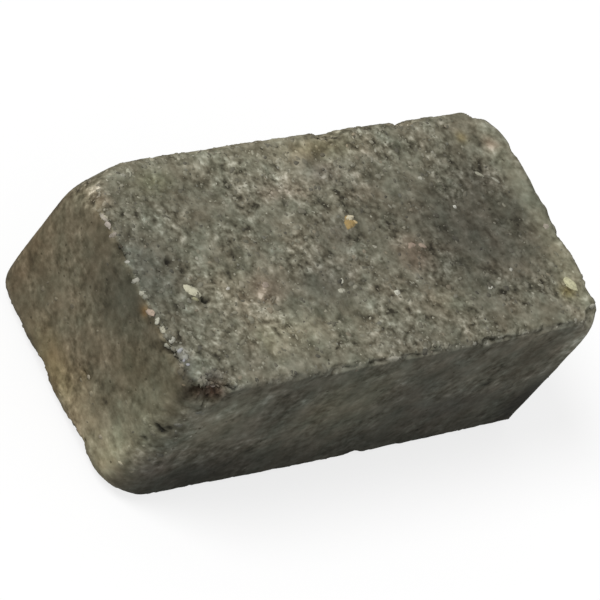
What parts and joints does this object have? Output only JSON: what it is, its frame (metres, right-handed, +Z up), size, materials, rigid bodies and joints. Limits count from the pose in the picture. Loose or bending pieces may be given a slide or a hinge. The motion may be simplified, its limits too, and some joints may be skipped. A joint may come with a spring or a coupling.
{
  "type": "tumbled concrete paving stone",
  "caption": "Rectangular concrete paving stone with worn, chipped arrises, knocked corners and a rough weathered top face, to be laid on its flat bed face.",
  "frame": {"origin": "centre of the bed face, on the level that the stone lies on", "axes": "+X along the length, +Y across the width, +Z up out of the worn top face"},
  "size_m": [0.21, 0.105, 0.08],
  "materials": {
    "concrete": "matte"
  },
  "bodies": {
    "root": {"paving_stone": "concrete"}
  },
  "joints": []
}
